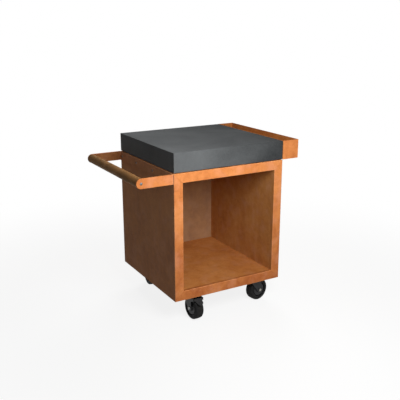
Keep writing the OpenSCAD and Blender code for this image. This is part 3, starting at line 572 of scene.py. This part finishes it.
def honed_ceramic(name, look, shift):
    """Dark ceramic: soft wide clouds, a mottle, a fine grain and pale and black specks under a
    honed face. A painted reflection makes it lighter towards the left end, and painted shade darker
    towards the right."""
    stone = Finish(name, Specular_IOR_Level=0.06)
    where = stone.place(shift)
    clouds = stone.noise(where, look.cloud_size, detail=3.0, distortion=0.6)
    mottle = stone.noise(where, size=12 * MM, detail=4.0, roughness=0.65)
    grain = stone.noise(where, look.grain_size, roughness=0.6)
    pale = stone.noise(where, look.grain_size * 1.6, detail=1.0).rise(*PALE_LEVELS)
    black = stone.noise(stone.place((1, 2, 3)), look.grain_size * 2.2, detail=1.0)
    black = black.rise(*BLACK_LEVELS)
    # Painted reflection and shade: lighter towards the left end, darker towards the right
    painted_reflection = stone.axes()[0].rise(REFLECTION_DARK_END, REFLECTION_LIGHT_END)
    tones = (0.10 + painted_reflection * 0.7 + clouds.swing(0.9) + mottle.swing(0.3)
             + grain.swing(0.3)).share()
    colour = stone.mix(tones, look.dark, look.light)
    colour = stone.mix(pale * PALE_SHARE, colour, scaled(look.light, 1.8))
    colour = stone.mix(black * BLACK_SHARE, colour, scaled(look.dark, 0.4))
    stone.feed(Base_Color=colour, Roughness=look.roughness + mottle.swing(0.16))
    stone.relief(grain * 0.5 + mottle * 0.5, depth=0.04 * MM)
    return stone


def fibre_board():
    """Pressed fibre board: fibres along X over soft clouds."""
    board = Finish("fibre_board", Roughness=0.85)
    along_x = board.place(stretch=(0.12, 1, 1))
    fibres = board.noise(along_x, size=4 * MM, detail=4.0, roughness=0.7)
    clouds = board.noise(board.place(), size=50 * MM)
    tones = (fibres * 0.7 + clouds * 0.3).share()
    board.feed(Base_Color=board.ramp(tones, (0.3, FIBRE_DARK), (0.7, FIBRE_LIGHT)))
    board.relief(fibres, depth=0.15 * MM)
    return board


def extruded_alloy(colour):
    """Mill-finished aluminium: die lines along X and a faint cloudiness."""
    alloy = Finish("extruded_alloy", Metallic=1.0)
    lines = alloy.noise(alloy.place(stretch=(0.01, 1, 1)), size=1.2 * MM)
    clouds = alloy.noise(alloy.place(), size=30 * MM, detail=3.0)
    alloy.feed(Base_Color=alloy.mix(clouds, scaled(colour, 0.85), scaled(colour, 1.08)),
               Roughness=0.30 + lines * 0.16)
    alloy.relief(lines, depth=0.03 * MM)
    return alloy


# Plated and painted pieces

# Tints of the two passivations on the zinc
BLUISH, YELLOWISH = (0.92, 0.97, 1.06), (1.08, 1.02, 0.88)
PAINT_DUST, BARE_STEEL = (0.050, 0.045, 0.040), (0.16, 0.15, 0.14)


class PREPTABLE_OT_fasteners(bpy.types.Operator):
    """Zinc plating on screws, bolts, pins, balls, castor plates and axles"""

    bl_idname = "preptable.fasteners"
    bl_label = "Fasteners"

    def execute(self, context):
        look = context.scene.prep_metals
        zinc_plate("dull_zinc", scaled(look.zinc, 0.35), weathering=0.2).coat(
            "handle_end_screws", "back_panel_screws")
        zinc_plate("browned_zinc", look.darkened, weathering=0.25).coat("handle_bracket_screws")
        zinc_plate("worn_zinc", scaled(look.zinc, 0.45), weathering=0.1).coat(
            *corner_nodes("axle"))
        zinc_plate("zinc_plate", look.zinc).coat(
            "worktop_bolts", "castor_bolts", "king_pins", "swivel_balls",
            *corner_nodes("castor_plate", "axle_sleeve"))
        return {"FINISHED"}


def zinc_plate(name, colour, weathering=0.0):
    """Zinc plating: a soft spangle, a bluish and a yellowish passivation, small dull spots.
    Weathering adds to its roughness."""
    zinc = Finish(name, Metallic=1.0)
    where = zinc.place()
    spangle = zinc.noise(where, size=6 * MM, detail=3.0, roughness=0.6, distortion=0.4)
    passivation = zinc.noise(where, size=20 * MM).rise(0.35, 0.65)
    dull = zinc.noise(where, size=2.5 * MM).rise(0.56, 0.72)
    bluish, yellowish = (tuple(c * t for c, t in zip(colour, tint))
                         for tint in (BLUISH, YELLOWISH))
    tones = zinc.mix(passivation, bluish, yellowish)
    zinc.feed(Base_Color=zinc.mix(dull * 0.5, tones, scaled(colour, 0.6)),
              Roughness=0.26 + weathering + spangle * 0.16 + dull * 0.18)
    zinc.relief(spangle * 0.5 + dull * 0.5, depth=0.03 * MM)
    return zinc


class PREPTABLE_OT_castors(bpy.types.Operator):
    """Painted forks, moulded wheel cores and bushes, and detailed tyres"""

    bl_idname = "preptable.castors"
    bl_label = "Castors"

    def execute(self, context):
        look = context.scene.prep_wheels
        black_paint(context.scene.prep_metals.paint).coat(
            *corner_nodes("castor_fork"), "brake_pedal_fl", "brake_pedal_rl")
        moulded_nylon("nylon_core", look.core, roughness=0.42).coat(*corner_nodes("wheel_core"))
        moulded_nylon("nylon_bush", look.bush, roughness=0.38).coat(*corner_nodes("wheel_bushes"))
        rubber = moulded_rubber("tyre_rubber", look.rubber, look.dust)
        for corner, place in CORNERS.items():
            piece = tyre(corner, f"roll_{place}", look)
            piece.data.materials.append(rubber.material)
            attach(piece, f"wheel_{place}")
            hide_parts(f"wheel_tyre_{corner}")
        return {"FINISHED"}


def black_paint(colour):
    """Satin black paint on pressed steel: orange-peel skin, dust in it and small bare chips."""
    paint = Finish("black_paint", Specular_IOR_Level=0.25)
    where = paint.place()
    peel = paint.noise(where, size=1.6 * MM)
    dust = paint.noise(where, size=30 * MM, detail=4.0, roughness=0.65).rise(0.45, 0.75)
    chips = paint.noise(where, size=4 * MM, detail=3.0, roughness=0.7).rise(0.72, 0.76)
    dusty = paint.mix(dust * 0.20, colour, PAINT_DUST)
    paint.feed(Base_Color=paint.mix(chips * 0.8, dusty, BARE_STEEL),
               Roughness=0.36 + dust * 0.22 + chips * 0.1)
    paint.relief(peel * 0.6 + (1 - chips) * 0.4, depth=0.05 * MM)
    return paint


def moulded_nylon(name, colour, roughness):
    """Moulded nylon: a fine spark-eroded skin with faint flow clouds."""
    nylon = Finish(name, Specular_IOR_Level=0.25)
    where = nylon.place()
    skin = nylon.noise(where, size=0.9 * MM, detail=1.0)
    flow = nylon.noise(where, size=18 * MM, detail=3.0, roughness=0.6, distortion=0.8)
    nylon.feed(Base_Color=nylon.mix(flow.rise(0.3, 0.7), scaled(colour, 0.8), scaled(colour, 1.2)),
               Roughness=roughness + skin.swing(0.25))
    nylon.relief(skin, depth=0.03 * MM)
    return nylon


def moulded_rubber(name, colour, dust=None):
    """Black rubber with a fine skin. A tyre's tread, marked by its own attribute, is dusty."""
    rubber = Finish(name, Specular_IOR_Level=0.15)
    where = rubber.place()
    skin = rubber.noise(where, size=1.2 * MM, roughness=0.6)
    bloom = rubber.noise(where, size=20 * MM, detail=4.0, roughness=0.6)
    tone = rubber.mix(bloom.rise(0.35, 0.75), colour, scaled(colour, 2.0))
    rough = 0.72 + skin.swing(0.3)
    if dust is not None:
        tread = rubber.node("ShaderNodeAttribute", {"attribute_name": "tread"}, {}, "Fac")
        dusty = tread * (bloom + skin * 0.6).rise(0.55, 1.0)
        tone = rubber.mix(dusty * 0.7, tone, dust)
        rough = rough + dusty * 0.15
    rubber.feed(Base_Color=tone, Roughness=rough)
    rubber.relief(skin, depth=0.08 * MM)
    return rubber


# Tyres

SHOULDER = 9 * MM
TREAD_STEPS, SHOULDER_STEPS, WALL_STEPS = 40, 12, 24
SHARP_ANGLE = math.radians(50)
# Distances from the tread's middle where the mould line and the dust begin to fade and are gone
RIDGE_FADE = 0.2 * MM, 0.7 * MM
DUST_FADE = 6 * MM, 18 * MM
# Middle and reach of each ring, as shares of the wall's height from the shoulder in
RINGS = (0.30, 0.13), (0.72, 0.10)
FLOOR_CLEARANCE = 0.01 * MM


def steps(start, end, count):
    """Evenly spaced values after start, up to end."""
    return np.linspace(start, end, count + 1)[1:]


def tyre_profile(outer, inner, half, look):
    """The tyre's closed section as arrays of radius and width, from one bead over the tread to the
    other. The tread drops as the square of the width, and a slim ridge runs round its middle. A
    shoulder is a quarter circle. A wall is straight, with rings whose height is a squared
    cosine."""
    top = outer - look.mould_line
    edge = half - SHOULDER
    tread_w = np.linspace(-edge, edge, TREAD_STEPS + 1)
    ridge = np.interp(np.abs(tread_w), RIDGE_FADE, (1, 0))
    tread_r = top - look.crown * (tread_w / edge) ** 2 + look.mould_line * ridge
    turn = steps(0, math.pi / 2, SHOULDER_STEPS)
    round_r = top - look.crown - SHOULDER + SHOULDER * np.cos(turn)
    round_w = edge + SHOULDER * np.sin(turn) - look.ring * np.sin(turn) ** 2
    wall_r = steps(round_r[-1], inner, WALL_STEPS)
    share = steps(0, 1, WALL_STEPS)
    rings = sum(np.cos(np.clip((share - middle) / reach, -1, 1) * math.pi / 2) ** 2
                for middle, reach in RINGS)
    wall_w = half - look.ring + look.ring * rings
    radius = np.concatenate([wall_r[::-1], round_r[::-1], tread_r, round_r, wall_r])
    width = np.concatenate([-wall_w[::-1], -round_w[::-1], tread_w, round_w, wall_w])
    return radius, width


def tyre(corner, joint_name, look):
    """Carries the section round the axle: centre + radius * (cos a * ahead + sin a * up)
    + width * axle, for the angle a round the wheel."""
    joint = next(j for j in frame["joints"] if j["name"] == joint_name)
    centre, axle = np.array(joint["pos_m"]), np.array(joint["axis"])
    up = np.array([0.0, 0.0, 1.0])
    ahead = np.cross(axle, up)
    corners = np.array([v.co for v in NODES[f"wheel_tyre_{corner}"].data.vertices]) - centre
    widths = corners @ axle
    radii = np.linalg.norm(corners - np.outer(widths, axle), axis=1)
    radius, width = tyre_profile(radii.max() - FLOOR_CLEARANCE, radii.min(), widths.max(), look)
    angle = np.linspace(0, 2 * math.pi, look.around, endpoint=False)
    spokes = np.outer(np.cos(angle), ahead) + np.outer(np.sin(angle), up)
    points = centre + radius[None, :, None] * spokes[:, None, :] + width[None, :, None] * axle
    piece = closed_grid(f"tyre_{corner}", points)
    tread = np.interp(np.abs(width), DUST_FADE, (1, 0))
    mark = piece.data.attributes.new("tread", "FLOAT", "POINT")
    mark.data.foreach_set("value", np.tile(tread, look.around).astype(np.float32))
    return piece


def closed_grid(name, points):
    """A mesh through a grid of points that closes on itself both ways, with its faces outwards. The
    triple products of the faces' corners add up to six times the volume, whose sign tells the
    side."""
    rows, columns = points.shape[:2]
    index = np.arange(rows * columns).reshape(rows, columns)
    right, below = np.roll(index, -1, 1), np.roll(index, -1, 0)
    faces = np.stack([index, right, np.roll(right, -1, 0), below], -1).reshape(-1, 4)
    flat = points.reshape(-1, 3)
    a, b, c, d = (flat[faces[:, k]] - flat.mean(0) for k in range(4))
    if (np.cross(a, b) * c + np.cross(a, c) * d).sum() < 0:
        faces = faces[:, ::-1]
    mesh = bpy.data.meshes.new(name)
    mesh.from_pydata(flat, [], faces)
    mesh.polygons.foreach_set("use_smooth", np.ones(len(mesh.polygons), bool))
    mesh.set_sharp_from_angle(angle=SHARP_ANGLE)
    mesh.update()
    piece = bpy.data.objects.new(name, mesh)
    bpy.context.scene.collection.objects.link(piece)
    return piece


# Studio

LAMP_AIM = 0.0, 0.0, 0.45
FLOOR_REACH = 40.0
# Distances from the object's middle where the floor begins to go white and where it is white
FLOOR_FADE = 0.9, 2.4
# How much of the floor near the object is white glow, and the grey that it throws back as a light
FLOOR_GLOW, FLOOR_BOUNCE = 0.85, 0.18


class PREPTABLE_OT_studio(bpy.types.Operator):
    """Pale floor, soft lamps, a white surround and the camera"""

    bl_idname = "preptable.studio"
    bl_label = "Studio"

    def execute(self, context):
        look = context.scene.prep_studio
        pale_floor(look)
        soft_lamp("key_lamp", look.key_power, size=0.7, place=(-0.20, -1.45, 1.40))
        soft_lamp("front_lamp", look.front_power, size=1.6, place=(-0.60, -3.20, 1.00))
        back = soft_lamp("back_lamp", look.back_power, size=1.6, place=(1.5, 2.2, 2.2))
        back.visible_glossy = False
        white_surround(context.scene, look.fill)
        data = bpy.data.cameras.new("camera")
        data.lens = look.lens
        camera = bpy.data.objects.new("camera", data)
        camera.location = look.camera_place
        camera.rotation_euler = (math.pi / 2 - look.camera_tilt, 0, -look.camera_turn)
        context.scene.collection.objects.link(camera)
        context.scene.camera = camera
        context.scene.view_settings.view_transform = "Standard"
        return {"FINISHED"}


def soft_lamp(name, power, size, place):
    """A square area lamp that points at the middle of the cabinet."""
    data = bpy.data.lights.new(name, "AREA")
    data.energy = power
    data.size = size
    lamp = bpy.data.objects.new(name, data)
    aim = np.array(LAMP_AIM) - np.array(place)
    lamp.location = place
    lamp.rotation_euler = (math.acos(-aim[2] / np.linalg.norm(aim)), 0,
                           math.atan2(aim[1], aim[0]) - math.pi / 2)
    bpy.context.scene.collection.objects.link(lamp)
    return lamp


def seen_rays(nodes, links):
    """1 for rays that show the background: from the camera, in a mirror and through glass."""
    path = nodes.new("ShaderNodeLightPath")
    total = path.outputs["Is Camera Ray"]
    for ray in ("Is Glossy Ray", "Is Transmission Ray"):
        add = nodes.new("ShaderNodeMath")
        add.operation = "MAXIMUM"
        links.new(total, add.inputs[0])
        links.new(path.outputs[ray], add.inputs[1])
        total = add.outputs[0]
    return total


def white_surround(scene, fill):
    """White where it is seen, and a soft fill as a light."""
    world = bpy.data.worlds.new("surround")
    world.use_nodes = True
    nodes, links = world.node_tree.nodes, world.node_tree.links
    background = next(n for n in nodes if n.type == "BACKGROUND")
    background.inputs["Color"].default_value = (1, 1, 1, 1)
    strength = nodes.new("ShaderNodeMapRange")
    strength.inputs["To Min"].default_value = fill
    links.new(seen_rays(nodes, links), strength.inputs["Value"])
    links.new(strength.outputs[0], background.inputs["Strength"])
    scene.world = world


def pale_floor(look):
    """A wide floor. Near the object it shows the soft shadow under a white glow, further out it
    goes over into the white surround, and as a light it throws little back."""
    reach = FLOOR_REACH
    corners = [(-reach, -reach, 0), (reach, -reach, 0), (reach, reach, 0), (-reach, reach, 0)]
    mesh = bpy.data.meshes.new("floor")
    mesh.from_pydata(corners, [], [(0, 1, 2, 3)])
    floor = bpy.data.objects.new("floor", mesh)
    bpy.context.scene.collection.objects.link(floor)
    ground = Finish("pale_floor", Roughness=0.9, Specular_IOR_Level=0.0)
    nodes, links = ground.tree.nodes, ground.tree.links
    ground.shader.inputs["Base Color"].default_value = opaque(look.floor)
    x, y, _ = ground.axes()
    away = ((x * x + y * y) ** 0.5).rise(*FLOOR_FADE)
    glow = FLOOR_GLOW + away * (1 - FLOOR_GLOW)
    dark = nodes.new("ShaderNodeBsdfDiffuse")
    dark.inputs["Color"].default_value = opaque([FLOOR_BOUNCE] * 3)
    white = nodes.new("ShaderNodeEmission")
    shown, whole = nodes.new("ShaderNodeMixShader"), nodes.new("ShaderNodeMixShader")
    links.new(glow.socket, shown.inputs[0])
    links.new(ground.shader.outputs[0], shown.inputs[1])
    links.new(white.outputs[0], shown.inputs[2])
    links.new(seen_rays(nodes, links), whole.inputs[0])
    links.new(dark.outputs[0], whole.inputs[1])
    links.new(shown.outputs[0], whole.inputs[2])
    output = next(n for n in nodes if n.type == "OUTPUT_MATERIAL")
    links.new(whole.outputs[0], output.inputs["Surface"])
    mesh.materials.append(ground.material)
    return floor


# Panel and registration

OPERATORS = (PREPTABLE_OT_studio, PREPTABLE_OT_cabinet, PREPTABLE_OT_worktop, PREPTABLE_OT_handle,
             PREPTABLE_OT_herb_tray, PREPTABLE_OT_castors, PREPTABLE_OT_fasteners)
SETTINGS = {"prep_steel": PREPTABLE_PG_steel, "prep_worktop": PREPTABLE_PG_worktop,
            "prep_metals": PREPTABLE_PG_metals, "prep_wheels": PREPTABLE_PG_wheels,
            "prep_studio": PREPTABLE_PG_studio}


class PREPTABLE_PT_panel(bpy.types.Panel):
    """Settings and operators of the prep table"""

    bl_idname = "PREPTABLE_PT_panel"
    bl_label = "Prep table"
    bl_space_type = "VIEW_3D"
    bl_region_type = "UI"
    bl_category = "Prep table"

    def draw(self, context):
        for name, group in SETTINGS.items():
            column = self.layout.column(align=True)
            column.label(text=name.replace("prep_", "").capitalize())
            for setting in group.__annotations__:
                column.prop(getattr(context.scene, name), setting)
        for operator in OPERATORS:
            self.layout.operator(operator.bl_idname)


def register():
    """Registers the settings, the operators and the panel."""
    for group in (*SETTINGS.values(), *OPERATORS, PREPTABLE_PT_panel):
        bpy.utils.register_class(group)
    for name, group in SETTINGS.items():
        setattr(bpy.types.Scene, name, PointerProperty(type=group))


def unregister():
    """Takes the settings, the operators and the panel away again."""
    for name in SETTINGS:
        delattr(bpy.types.Scene, name)
    for group in (PREPTABLE_PT_panel, *reversed(OPERATORS), *SETTINGS.values()):
        bpy.utils.unregister_class(group)


def main():
    register()
    bpy.ops.preptable.studio()
    bpy.ops.preptable.cabinet()
    bpy.ops.preptable.worktop()
    bpy.ops.preptable.handle()
    bpy.ops.preptable.herb_tray()
    bpy.ops.preptable.castors()
    bpy.ops.preptable.fasteners()


if __name__ == "__main__":
    main()
